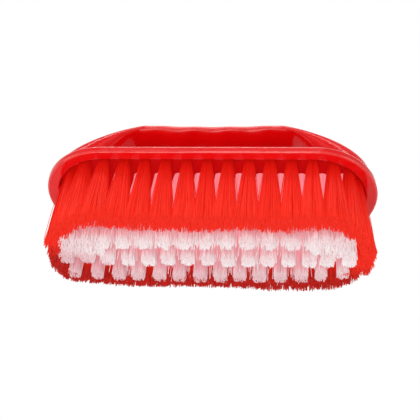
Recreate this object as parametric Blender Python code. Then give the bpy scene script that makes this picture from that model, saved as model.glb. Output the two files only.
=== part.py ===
"""Laundry brush: a moulded handle shell over a block of set tufts.

Lengths are metres and +Z is up. The origin lies under the middle of the
brush, in the plane of its cut bristle tips, and +X runs along the handle.
"""

import math

import bmesh
import bpy
from mathutils import Vector
from mathutils.geometry import interpolate_bezier

# Plate outline
plate_length = 0.160
plate_width = 0.071
plate_straight_share = 0.6125

# Bristles, and the rim that stands below their roots
bristle_length = 0.0365
recess_depth = 0.0031
rim_height = 0.0036
rim_width = 0.0058
rim_fillet = 0.0010

# Cover that rises inside the rim
ledge_width = 0.0016
cover_rise = 0.0074
cover_run = 0.0134
cover_wall = 0.0020
cover_start_lean_share = 0.02
cover_start_lift_share = 0.30
cover_end_run_share = 0.52

# Handle that arches over the finger gap
overall_height = 0.0700
grip_thickness = 0.0066
grip_width = 0.0254
foot_width = 0.0360
grip_half_flat = 0.0314
foot_inset = 0.0024
foot_length = 0.0190
foot_sink = 0.0035
finger_pitch = 0.0190
finger_groove = 0.0012
outer_shoulder_share = 0.04
outer_foot_lean_share = 0.01
outer_foot_lift_share = 0.73
inner_shoulder_share = 0.27
inner_foot_lean_share = 0.51
inner_foot_lift_share = 0.30

# Block that carries the tufts
fit_gap = 0.0003
block_border = 0.0006
slice_thickness = 0.0012
slice_land = 0.0001

# Pegs of the shell, and their sockets in the block
peg_radius = 0.0025
peg_length = 0.0026
peg_spacing_x = 0.0700
peg_spacing_y = 0.0160

# Tufts, each a fan of strands
tuft_pitch = 0.0097
white_row_offset = 0.0140
tuft_root_spread = 0.00125
tuft_tip_spread = 0.0031
strand_root_radius = 0.00062
strand_tip_radius = 0.00130
strand_root_depth = 0.0008
end_flare = 0.0035
trim_depth = 0.0005

# Overrun of a cutter past the face that it opens
cut_overrun = 0.0010

# Finishes, each a colour and a roughness
shell_finish = ((0.80, 0.010, 0.012, 1.0), 0.22)
block_finish = ((0.62, 0.008, 0.010, 1.0), 0.35)
red_bristle_finish = ((0.90, 0.030, 0.020, 1.0), 0.45)
white_bristle_finish = ((0.90, 0.86, 0.86, 1.0), 0.45)

# Counts
finger_count = 4
outer_strands = 5
strand_sides = 3
end_steps = 20
fillet_steps = 3
cover_steps = 7
groove_steps = 8
leg_steps = 12
section_steps = 20
section_power = 3.0
peg_steps = 16
ring_samples = 360
slice_steps = 14

# Heights worked out from the sizes above
root_level = bristle_length
rim_bottom = root_level - recess_depth
rim_top = rim_bottom + rim_height
cover_top = rim_top + cover_rise
half_straight = plate_length * plate_straight_share / 2
pocket_level = root_level + slice_thickness + fit_gap
slice_top = root_level + slice_thickness

# Insets from the plate's outline, each counted from the one outside it
block_inset = rim_width + fit_gap
pocket_inset = block_inset + block_border
slice_inset = pocket_inset + fit_gap
tuft_root_radius = tuft_root_spread + strand_root_radius
ring_inset = slice_inset + slice_land + tuft_root_radius
divide_inset = ring_inset + tuft_root_radius + slice_land + fit_gap / 2
row_end_inset = divide_inset + fit_gap / 2 + slice_land + tuft_root_radius


def clear_scene():
    """Remove whatever objects the file holds."""
    for item in list(bpy.data.objects):
        bpy.data.objects.remove(item, do_unlink=True)


def plastic(name, colour, roughness):
    """Give one piece its own plain material, named after the piece."""
    material = bpy.data.materials.new(name + "_plastic")
    material.use_nodes = True
    shader = material.node_tree.nodes["Principled BSDF"]
    shader.inputs["Base Color"].default_value = colour
    shader.inputs["Roughness"].default_value = roughness
    shader.inputs["Metallic"].default_value = 0.0
    return material


def add_object(name, mesh_data, finish=None):
    """Turn a bmesh into a named object with outward faces and a finish."""
    bmesh.ops.recalc_face_normals(mesh_data, faces=mesh_data.faces)
    mesh = bpy.data.meshes.new(name)
    mesh_data.to_mesh(mesh)
    mesh_data.free()
    mesh.shade_smooth()
    mesh.set_sharp_from_angle(angle=math.radians(40.0))
    item = bpy.data.objects.new(name, mesh)
    bpy.context.collection.objects.link(item)
    if finish is not None:
        mesh.materials.append(plastic(name, *finish))
    return item


def combine(target, tool, operation):
    """Cut or join a target with a tool that is only a guide."""
    tool.hide_render = True
    tool.display_type = "WIRE"
    modifier = target.modifiers.new(tool.name, "BOOLEAN")
    modifier.operation = operation
    modifier.solver = "EXACT"
    modifier.object = tool


def end_axes(inset):
    """Half axes of the plate's rounded ends at an inset."""
    reach = plate_length / 2 - half_straight - inset
    half = plate_width / 2 - inset
    return reach, half


def end_curve(inset, joint, steps):
    """Points around the +X end, from one side at x = joint to the other."""
    reach, half = end_axes(inset)
    start = math.pi / 2
    if joint > half_straight:
        start = math.acos((joint - half_straight) / reach)
    points = []
    if joint < half_straight:
        points.append(Vector((joint, -half)))
    for step in range(steps + 1):
        angle = start * (2 * step / steps - 1)
        across = half_straight + reach * math.cos(angle)
        points.append(Vector((across, half * math.sin(angle))))
    if joint < half_straight:
        points.append(Vector((joint, half)))
    return points


def outline(inset, level):
    """The closed outline of the plate at an inset and a height."""
    right = end_curve(inset, half_straight, end_steps)
    left = [-point for point in right]
    return [Vector((point.x, point.y, level)) for point in right + left]


def half_width_at(along, inset):
    """Half width of the outline where x = along."""
    reach, half = end_axes(inset)
    past = max(abs(along) - half_straight, 0.0)
    return half * math.sqrt(max(1 - (past / reach) ** 2, 0.0))


def half_length_at(across, inset):
    """Half length of the outline where y = across."""
    reach, half = end_axes(inset)
    return half_straight + reach * math.sqrt(max(1 - (across / half) ** 2, 0.0))


def skin(rings):
    """Close a solid through rings of equally many points."""
    solid = bmesh.new()
    layers = [[solid.verts.new(point) for point in ring] for ring in rings]
    for lower, upper in zip(layers, layers[1:]):
        count = len(lower)
        for index in range(count):
            after = (index + 1) % count
            solid.faces.new((lower[index], lower[after], upper[after], upper[index]))
    solid.faces.new(layers[0])
    solid.faces.new(layers[-1])
    return solid


def turned_around_plate(profile):
    """Carry a profile of (inset, height) pairs round the plate."""
    return skin([outline(inset, level) for inset, level in profile])


def quarter(centre, radius, first, last):
    """Points of a fillet between two angles, in degrees."""
    points = []
    for step in range(fillet_steps + 1):
        angle = math.radians(first + (last - first) * step / fillet_steps)
        along = centre[0] + radius * math.cos(angle)
        points.append((along, centre[1] + radius * math.sin(angle)))
    return points


def bezier(first, first_handle, last_handle, last, steps):
    """Points of one flat Bezier stretch."""
    knots = [Vector(first), Vector(first_handle), Vector(last_handle), Vector(last)]
    return interpolate_bezier(*knots, steps + 1)


def cover_curve():
    """The cover's outer face, from the ledge up to its flat top."""
    start = (ledge_width + rim_fillet, rim_top)
    end = (start[0] + cover_run, cover_top)
    start_handle = (
        start[0] + cover_run * cover_start_lean_share,
        rim_top + cover_rise * cover_start_lift_share,
    )
    end_handle = (end[0] - cover_run * cover_end_run_share, cover_top)
    return bezier(start, start_handle, end_handle, end, cover_steps)


def inside_cover(distance, shallowest):
    """The cover's face moved in by a distance, from an inset inwards."""
    curve = cover_curve()
    moved = []
    for index, point in enumerate(curve):
        before = curve[max(index - 1, 0)]
        after = curve[min(index + 1, len(curve) - 1)]
        along = (after - before).normalized()
        if index == len(curve) - 1:
            along = Vector((1.0, 0.0))
        moved.append(point + Vector((along.y, -along.x)) * distance)
    kept = []
    for before, after in zip(moved, moved[1:]):
        if before.x < shallowest <= after.x:
            share = (shallowest - before.x) / (after.x - before.x)
            kept.append((shallowest, before.y + (after.y - before.y) * share))
        if after.x > shallowest:
            kept.append((after.x, after.y))
    return kept


def shell_solid():
    """The rim and the cover, before they are hollowed."""
    profile = quarter((rim_fillet, rim_bottom + rim_fillet), rim_fillet, 270, 180)
    profile += quarter((rim_fillet, rim_top - rim_fillet), rim_fillet, 180, 90)
    profile += [(point.x, point.y) for point in cover_curve()]
    return turned_around_plate(profile)


def shell_hollow():
    """The recess under the cover, with a rounded mouth."""
    mouth = rim_width - rim_fillet
    profile = [(mouth, rim_bottom - cut_overrun)]
    profile += quarter((mouth, rim_bottom + rim_fillet), rim_fillet, 270, 360)
    profile += inside_cover(cover_wall, rim_width)
    return turned_around_plate(profile)


def groove_lift(along):
    """How far a finger groove lifts the underside of the grip."""
    wave = 1 - math.cos(2 * math.pi * along / finger_pitch)
    return finger_groove * wave / 2


def handle_side():
    """Underside and top of the handle, from its middle to the +X foot."""
    foot_outer = plate_length / 2 - foot_inset
    foot_inner = foot_outer - foot_length
    gap_half = finger_pitch * finger_count / 2
    under = overall_height - grip_thickness
    flat_steps = groove_steps * finger_count // 2
    inner = []
    outer = []
    for step in range(flat_steps):
        share = step / flat_steps
        along = gap_half * share
        inner.append(Vector((along, under + groove_lift(along))))
        outer.append(Vector((grip_half_flat * share, overall_height)))
    inner_foot = cover_top - foot_sink
    inner_run = foot_inner - gap_half
    inner_drop = under - inner_foot
    inner += bezier(
        (gap_half, under),
        (gap_half + inner_run * inner_shoulder_share, under),
        (foot_inner - inner_run * inner_foot_lean_share,
         inner_foot + inner_drop * inner_foot_lift_share),
        (foot_inner, inner_foot),
        leg_steps,
    )
    outer_foot = rim_top
    outer_run = foot_outer - grip_half_flat
    outer_drop = overall_height - outer_foot
    outer += bezier(
        (grip_half_flat, overall_height),
        (grip_half_flat + outer_run * outer_shoulder_share, overall_height),
        (foot_outer - outer_run * outer_foot_lean_share,
         outer_foot + outer_drop * outer_foot_lift_share),
        (foot_outer, outer_foot),
        leg_steps,
    )
    return inner, outer


def rounded_power(value):
    """Share of a half size on a rounded, nearly square section."""
    return math.copysign(abs(value) ** (2 / section_power), value)


def handle_section(inner, outer, half_width):
    """One ring of the handle between its underside and its top."""
    middle = (inner + outer) / 2
    upward = (outer - inner) / 2
    ring = []
    for step in range(section_steps):
        angle = 2 * math.pi * step / section_steps
        across = half_width * rounded_power(math.sin(angle))
        point = middle + upward * rounded_power(math.cos(angle))
        ring.append(Vector((point.x, across, point.y)))
    return ring


def handle_solid():
    """The arched handle, sunk into the cover at both feet."""
    inner, outer = handle_side()
    last = len(inner) - 1
    half_rings = []
    for index in range(last + 1):
        share = (index / last) ** 2
        half_width = (grip_width + (foot_width - grip_width) * share) / 2
        half_rings.append(handle_section(inner[index], outer[index], half_width))
    mirrored = []
    for ring in reversed(half_rings[1:]):
        mirrored.append([Vector((-point.x, point.y, point.z)) for point in ring])
    return skin(mirrored + half_rings)


def peg_places():
    """Centres of the four pegs."""
    places = []
    for side in (-1, 1):
        for end in (-1, 1):
            places.append((end * peg_spacing_x / 2, side * peg_spacing_y / 2))
    return places


def posts(radius, bottom, top):
    """Four round posts at the pegs' centres."""
    solid = bmesh.new()
    for along, across in peg_places():
        rings = []
        for level in (bottom, top):
            ring = []
            for step in range(peg_steps):
                angle = 2 * math.pi * step / peg_steps
                ring.append(solid.verts.new((
                    along + radius * math.cos(angle),
                    across + radius * math.sin(angle),
                    level,
                )))
            rings.append(ring)
        for index in range(peg_steps):
            after = (index + 1) % peg_steps
            lower, upper = rings
            solid.faces.new((lower[index], lower[after], upper[after], upper[index]))
        solid.faces.new(rings[0])
        solid.faces.new(rings[1])
    return solid


def make_handle_shell(finish):
    """Handle, cover and rim as one moulding with pegs inside."""
    shell = add_object("handle_shell", shell_solid(), finish)
    ceiling = cover_top - cover_wall
    combine(shell, add_object("handle_arch_guide", handle_solid()), "UNION")
    combine(shell, add_object("shell_hollow_cutter", shell_hollow()), "DIFFERENCE")
    pegs = posts(peg_radius, ceiling - peg_length, ceiling + cover_wall / 2)
    combine(shell, add_object("peg_guide", pegs), "UNION")
    return shell


def make_tuft_block(finish):
    """The block that fits the cover, with a pocket for the tuft slices."""
    profile = [(pocket_inset, pocket_level), (pocket_inset, root_level)]
    profile += [(block_inset, root_level)]
    profile += inside_cover(cover_wall + fit_gap, block_inset)
    block = add_object("tuft_block", turned_around_plate(profile), finish)
    block_top = cover_top - cover_wall - fit_gap
    socket_floor = cover_top - cover_wall - peg_length - fit_gap
    sockets = posts(peg_radius + fit_gap, socket_floor, block_top + cut_overrun)
    combine(block, add_object("socket_cutter", sockets), "DIFFERENCE")
    return block


def ring_path():
    """Half of the line that the ring's roots follow, and length so far."""
    path = []
    reach, half = end_axes(ring_inset)
    for step in range(ring_samples + 1):
        share = step / ring_samples
        path.append(Vector((half_straight * share, -half)))
    for step in range(1, 2 * ring_samples + 1):
        angle = math.pi * (step / (2 * ring_samples) - 1 / 2)
        path.append(Vector((half_straight + reach * math.cos(angle), half * math.sin(angle))))
    for step in range(1, ring_samples + 1):
        share = 1 - step / ring_samples
        path.append(Vector((half_straight * share, half)))
    lengths = [0.0]
    for before, after in zip(path, path[1:]):
        lengths.append(lengths[-1] + (after - before).length)
    return path, lengths


def true_pitch():
    """The pitch nearest the nominal one that fills the ring evenly."""
    half_ring = ring_path()[1][-1]
    return half_ring / round(half_ring / tuft_pitch)


def ring_tufts():
    """Root and lean of each tuft around the plate, from the front middle."""
    path, lengths = ring_path()
    half_count = round(lengths[-1] / tuft_pitch)
    tufts = []
    index = 0
    for number in range(half_count + 1):
        target = lengths[-1] * number / half_count
        while lengths[index + 1] < target and index < len(path) - 2:
            index += 1
        share = (target - lengths[index]) / (lengths[index + 1] - lengths[index])
        place = path[index].lerp(path[index + 1], share)
        along = (path[index + 1] - path[index]).normalized()
        outward = Vector((along.y, -along.x))
        lean = outward * end_flare * outward.x ** 2
        tufts.append((place, lean))
        if 0 < number < half_count:
            mirrored = Vector((-place.x, place.y))
            tufts.append((mirrored, Vector((-lean.x, lean.y))))
    return tufts


def row_tufts(across, staggered):
    """Root and lean of each tuft along one straight white row."""
    last = half_length_at(abs(across), row_end_inset)
    shift = 1 / 2 if staggered else 0.0
    steps = round(last / true_pitch() - shift)
    pitch = last / (steps + shift)
    tufts = []
    for number in range(steps + 1):
        along = pitch * (number + shift)
        lean = Vector((end_flare * (along / (plate_length / 2)) ** 2, 0.0))
        tufts.append((Vector((along, across)), lean))
        if along > 0.0:
            tufts.append((Vector((-along, across)), -lean))
    return tufts


def all_rows():
    """Name, near edge, far edge and tufts of each white row."""
    edge = end_axes(divide_inset + fit_gap / 2)[1]
    near = (white_row_offset - fit_gap) / 2
    far = (white_row_offset + fit_gap) / 2
    return (
        ("white_tufts_front_row", -edge, -far, row_tufts(-white_row_offset, True)),
        ("white_tufts_middle_row", -near, near, row_tufts(0.0, False)),
        ("white_tufts_back_row", far, edge, row_tufts(white_row_offset, True)),
    )


def tip_shares(tufts):
    """How much of its full spread each tuft's tip has before it meets another."""
    full = tuft_tip_spread + strand_tip_radius
    tips = [place + lean for place, lean in tufts]
    shares = {}
    for number, tip in enumerate(tips):
        nearest = min((tip - other).length for other in tips[:number] + tips[number + 1:])
        shares[tuple(tufts[number][0])] = min((nearest - fit_gap) / (2 * full), 1.0)
    return shares


def add_strand(solid, root, tip, tip_radius, turn):
    """One strand of a tuft, a little too long, from root to tip."""
    top = root_level + strand_root_depth
    drop = root_level + trim_depth
    slope = (tip - root) / bristle_length
    rings = []
    ends = (
        (root - slope * strand_root_depth, top, strand_root_radius),
        (root + slope * drop, -trim_depth, tip_radius),
    )
    for centre, level, radius in ends:
        ring = []
        for side in range(strand_sides):
            angle = turn + 2 * math.pi * side / strand_sides
            offset = Vector((math.cos(angle), math.sin(angle))) * radius
            point = centre + offset
            ring.append(solid.verts.new((point.x, point.y, level)))
        rings.append(ring)
    upper, lower = rings
    for side in range(strand_sides):
        after = (side + 1) % strand_sides
        solid.faces.new((upper[side], upper[after], lower[after], lower[side]))
    solid.faces.new(upper)
    solid.faces.new(lower)


def add_tuft(solid, place, lean, share, number):
    """A strand in the middle of a tuft and a ring of them around it."""
    tip_radius = strand_tip_radius * share
    add_strand(solid, place, place + lean, tip_radius, 0.0)
    for strand in range(outer_strands):
        angle = 2 * math.pi * (strand / outer_strands + number / (2 * outer_strands))
        direction = Vector((math.cos(angle), math.sin(angle)))
        root = place + direction * tuft_root_spread
        tip = place + lean + direction * tuft_tip_spread * share
        add_strand(solid, root, tip, tip_radius, angle)


def trimmed_strands(tufts, shares):
    """All strands of a group, cut flat in the plane of the tips."""
    solid = bmesh.new()
    for number, (place, lean) in enumerate(tufts):
        add_tuft(solid, place, lean, shares[tuple(place)], number)
    geometry = solid.verts[:] + solid.edges[:] + solid.faces[:]
    cut = bmesh.ops.bisect_plane(
        solid,
        geom=geometry,
        plane_co=(0.0, 0.0, 0.0),
        plane_no=(0.0, 0.0, -1.0),
        clear_outer=True,
    )
    edges = [item for item in cut["geom_cut"] if isinstance(item, bmesh.types.BMEdge)]
    bmesh.ops.holes_fill(solid, edges=edges, sides=0)
    return solid


def slab(points):
    """A slice of the block's underside with the given outline."""
    bottom = [Vector((point[0], point[1], root_level)) for point in points]
    top = [Vector((point[0], point[1], slice_top)) for point in points]
    return skin([bottom, top])


def make_tuft_group(name, points, tufts, shares, finish):
    """A slice of backing with its tufts fused to it."""
    group = add_object(name, slab(points), finish)
    strands = add_object(name + "_strands_guide", trimmed_strands(tufts, shares))
    combine(group, strands, "UNION")
    return group


def side_slice(joint, side):
    """Outline of the ring's front (-1) or back (1) slice."""
    edge = joint - fit_gap / 2
    outer = []
    inner = []
    for step in range(slice_steps + 1):
        along = edge * (2 * step / slice_steps - 1)
        outer.append((along, side * half_width_at(along, slice_inset)))
        inner.append((along, side * half_width_at(along, divide_inset - fit_gap / 2)))
    return outer + inner[::-1]


def end_slice(joint, end):
    """Outline of the ring's slice at the -X (-1) or +X (1) end."""
    edge = joint + fit_gap / 2
    outer = end_curve(slice_inset, edge, slice_steps)
    inner = end_curve(divide_inset - fit_gap / 2, edge, slice_steps)
    return [(end * point.x, point.y) for point in outer + inner[::-1]]


def row_slice(low, high):
    """Outline of a white row's slice between two values of y."""
    right = []
    inset = divide_inset + fit_gap / 2
    for step in range(slice_steps + 1):
        across = low + (high - low) * step / slice_steps
        right.append((half_length_at(across, inset), across))
    return right + [(-along, across) for along, across in right[::-1]]


def make_red_ring(tufts, shares, finish):
    """The ring of red tufts, in a front, a back and two end groups."""
    straight = [abs(place.x) for place, lean in tufts if abs(place.x) <= half_straight]
    curved = [abs(place.x) for place, lean in tufts if abs(place.x) > half_straight]
    joint = (max(straight) + min(curved)) / 2
    for name, side in (("red_tufts_front", -1), ("red_tufts_back", 1)):
        members = [item for item in tufts if abs(item[0].x) < joint and item[0].y * side > 0]
        make_tuft_group(name, side_slice(joint, side), members, shares, finish)
    for name, end in (("red_tufts_left_end", -1), ("red_tufts_right_end", 1)):
        members = [item for item in tufts if item[0].x * end > joint]
        make_tuft_group(name, end_slice(joint, end), members, shares, finish)


def make_white_rows(rows, shares, finish):
    """The three straight rows of white tufts inside the ring."""
    for name, low, high, tufts in rows:
        make_tuft_group(name, row_slice(low, high), tufts, shares, finish)


def build():
    """Make every piece of the brush."""
    clear_scene()
    make_handle_shell(shell_finish)
    make_tuft_block(block_finish)
    ring = ring_tufts()
    rows = all_rows()
    every = ring + [tuft for row in rows for tuft in row[-1]]
    shares = tip_shares(every)
    make_red_ring(ring, shares, red_bristle_finish)
    make_white_rows(rows, shares, white_bristle_finish)


build()
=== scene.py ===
"""Looks of a laundry brush: glossy moulded shell, drilled block and cut tufts.

All sizes are metres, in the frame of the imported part: the brush stands on its
tips at z = 0, the handle runs along X and the front of the brush faces -Y.
"""

import logging
import math
from dataclasses import dataclass, field, replace
from enum import Enum
from typing import Iterable, Sequence

import bmesh
import bpy
import numpy as np
from mathutils import Matrix, Quaternion, Vector
from mathutils.geometry import interpolate_bezier


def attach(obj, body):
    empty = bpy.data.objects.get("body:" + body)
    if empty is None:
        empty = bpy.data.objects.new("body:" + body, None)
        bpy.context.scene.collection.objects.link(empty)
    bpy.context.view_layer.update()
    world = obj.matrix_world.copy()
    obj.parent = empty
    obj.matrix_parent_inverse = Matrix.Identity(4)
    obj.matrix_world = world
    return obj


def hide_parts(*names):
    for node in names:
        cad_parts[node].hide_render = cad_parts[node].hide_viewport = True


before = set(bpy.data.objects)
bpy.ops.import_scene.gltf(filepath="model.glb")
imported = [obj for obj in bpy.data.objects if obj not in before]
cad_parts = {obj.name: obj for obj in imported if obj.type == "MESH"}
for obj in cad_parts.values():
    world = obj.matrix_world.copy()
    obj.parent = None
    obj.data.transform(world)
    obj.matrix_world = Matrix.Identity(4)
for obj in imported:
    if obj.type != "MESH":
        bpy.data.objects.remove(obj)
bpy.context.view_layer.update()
log = logging.getLogger("laundry_brush")

Colour = tuple[float, float, float]
Profile = list[tuple[float, float]]

# Length past the grip over which the wear, polish and painted highlight of its edges fade, and what
# is left of them
HAND_FADE = 0.014
UNRUBBED_SHARE = 0.12
# Lengths too small to show: a step to either side of a place, and a tolerance
SHORT_STEP = 1e-4
SLIVER = 1e-6


class TuftColour(Enum):
    """The two colours of filament in the brush."""

    RED = "red_bristle"
    WHITE = "white_bristle"


def select_only(*pieces: bpy.types.Object) -> None:
    """Select some objects alone.

    Args:
        *pieces: The objects, the first of which becomes the active one.
    """
    bpy.ops.object.select_all(action="DESELECT")
    for piece in pieces:
        piece.select_set(True)
    if pieces:
        bpy.context.view_layer.objects.active = pieces[0]


def put_in_scene(name: str, data: bpy.types.ID) -> bpy.types.Object:
    """Make an object from its data, at the origin.

    Args:
        name: Name of the object.
        data: Its mesh, camera or lamp.

    Returns:
        The object.
    """
    made = bpy.data.objects.new(name, data)
    bpy.context.collection.objects.link(made)
    return made


def hand_over(piece: bpy.types.Object, nodes: Sequence[str]) -> None:
    """Make a finished piece ride on the brush and stand for CAD nodes.

    Args:
        piece: The finished mesh object.
        nodes: CAD nodes that the piece replaces.
    """
    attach(piece, "root")
    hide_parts(*nodes)
    faces = len(piece.data.polygons)
    log.info("%s: %d faces, stands for %s", piece.name, faces, ", ".join(nodes))


@dataclass(frozen=True)
class BrushSizes:
    """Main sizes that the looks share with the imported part."""

    half_length: float = 0.080
    half_width: float = 0.0355
    half_straight: float = 0.049
    root_level: float = 0.0365
    rim_bottom: float = 0.0334
    rim_top: float = 0.0370
    cover_top: float = 0.0444
    top: float = 0.0700
    rim_width: float = 0.0058
    cover_wall: float = 0.0020
    fit_gap: float = 0.0003
    ring_inset: float = 0.00897
    row_offset: float = 0.0140


@dataclass(frozen=True)
class PlateOutline:
    """Plan of the plate: straight sides joined by half-elliptical ends."""

    sizes: BrushSizes
    end_steps: int = 44
    side_steps: int = 26
    halvings: int = 40

    def axes(self, inset: float) -> tuple[float, float]:
        """Return the half axes of the rounded ends at an inset."""
        reach = self.sizes.half_length - self.sizes.half_straight - inset
        return reach, self.sizes.half_width - inset

    def ring(self, inset: float, level: float) -> list[Vector]:
        """Points of the outline at an inset and a height.

        Args:
            inset: Distance in from the plate's edge.
            level: Height of the ring.

        Returns:
            The points in order round the plate.
        """
        reach, half = self.axes(inset)
        straight = self.sizes.half_straight
        points = []
        for step in range(self.end_steps):
            turn = math.pi * (step / self.end_steps - 0.5)
            across = straight + reach * math.cos(turn)
            points.append(Vector((across, half * math.sin(turn), level)))
        for step in range(self.side_steps):
            along = straight * (1 - 2 * step / self.side_steps)
            points.append(Vector((along, half, level)))
        return points + [Vector((-p.x, -p.y, level)) for p in points]

    def inset_at(self, place: Vector) -> float:
        """Find how far in from the edge a place in plan lies.

        Args:
            place: The place, of which only x and y count.

        Returns:
            Its inset, found by halving where the outline is round.
        """
        past = abs(place.x) - self.sizes.half_straight
        if past <= 0:
            return self.sizes.half_width - abs(place.y)
        low, high = 0.0, self.axes(0.0)[0] - SLIVER
        for _ in range(self.halvings):
            middle = (low + high) / 2
            reach, half = self.axes(middle)
            outside = (past / reach) ** 2 + (place.y / half) ** 2 > 1
            low, high = (low, middle) if outside else (middle, high)
        return low

    def half_length_at(self, across: float, inset: float) -> float:
        """Measure the outline along x.

        Args:
            across: The y to measure at.
            inset: Distance in from the plate's edge.

        Returns:
            Half its length there.
        """
        reach, half = self.axes(inset)
        share = math.sqrt(max(1 - (across / half) ** 2, 0.0))
        return self.sizes.half_straight + reach * share


class RingLoft:
    """A closed skin, grown ring by ring by extruding its open edge."""

    def __init__(self, name: str, first: Sequence[Vector]) -> None:
        """Start from a circle that is moved onto the first ring.

        Args:
            name: Name of the piece.
            first: Points of the first ring.
        """
        select_only()
        bpy.ops.mesh.primitive_circle_add(vertices=len(first), radius=1.0)
        self.piece = bpy.context.object
        self.piece.name = name
        self.piece.data.name = name
        self.keys = [tuple(vert.co) for vert in self.piece.data.vertices]
        bpy.ops.object.mode_set(mode="EDIT")
        bpy.ops.mesh.select_all(action="SELECT")
        self._place(first)

    def _place(self, points: Sequence[Vector]) -> None:
        """Move the selected ring onto points.

        Args:
            points: One point for each vertex, in the ring's own order.
        """
        edit = bmesh.from_edit_mesh(self.piece.data)
        by_place = {tuple(vert.co): vert for vert in edit.verts if vert.select}
        ring = [by_place[key] for key in self.keys]
        for vert, point in zip(ring, points):
            vert.co = point
        self.keys = [tuple(vert.co) for vert in ring]
        bmesh.update_edit_mesh(self.piece.data)

    def grow(self, points: Sequence[Vector]) -> None:
        """Extrude the open edge and move it onto the next ring."""
        bpy.ops.mesh.extrude_edges_move()
        self._place(points)

    def close(self) -> bpy.types.Object:
        """Fill both ends and turn the faces outwards.

        Returns:
            The finished object, in object mode.
        """
        bpy.ops.mesh.edge_face_add()
        bpy.ops.mesh.select_all(action="DESELECT")
        bpy.ops.mesh.select_non_manifold(extend=False)
        bpy.ops.mesh.edge_face_add()
        bpy.ops.mesh.select_all(action="SELECT")
        bpy.ops.mesh.normals_make_consistent(inside=False)
        bpy.ops.object.mode_set(mode="OBJECT")
        return self.piece


def lofted(name: str, rings: Sequence[Sequence[Vector]]) -> bpy.types.Object:
    """Model a closed skin through rings.

    Args:
        name: Name of the piece.
        rings: Points of each ring, all of equal number.

    Returns:
        The finished object, in object mode.
    """
    loft = RingLoft(name, rings[0])
    for ring in rings[1:]:
        loft.grow(ring)
    return loft.close()


def circle(radius: float, sides: int, level: float) -> list[Vector]:
    """Return the points of a level circle round the z axis."""
    turns = [2 * math.pi * side / sides for side in range(sides)]
    return [Vector((radius * math.cos(turn), radius * math.sin(turn), level)) for turn in turns]


def settle(piece: bpy.types.Object, smooth_angle: float, full_turn: float,
           held: float = math.inf) -> None:
    """Smooth a finished piece and store on it where wear and a painted highlight would show.

    Both show where the surface turns outwards.

    Args:
        piece: The finished mesh object.
        smooth_angle: Largest angle in degrees between faces that shade as one.
        full_turn: Turn between faces, in degrees, that counts as a full edge.
        held: Distance from the middle, along x, past which no hand rubs it.
    """
    select_only(piece)
    bpy.ops.object.shade_smooth_by_angle(angle=math.radians(smooth_angle))
    piece.select_set(False)
    work = bmesh.new()
    work.from_mesh(piece.data)
    turn = np.zeros(len(work.verts), np.float32)
    for vert in work.verts:
        bends = [e.calc_face_angle_signed(0.0) for e in vert.link_edges]
        turn[vert.index] = max(bends) / math.radians(full_turn)
    work.free()
    layer = piece.data.attributes.new("edge_share", "FLOAT", "POINT")
    away = np.array([abs(vert.co.x) for vert in piece.data.vertices], np.float32)
    rubbed_and_highlit = np.clip(1.0 - (away - held) / HAND_FADE, UNRUBBED_SHARE, 1.0)
    layer.data.foreach_set("value", np.clip(turn, 0.0, 1.0) ** 2 * rubbed_and_highlit)


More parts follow.
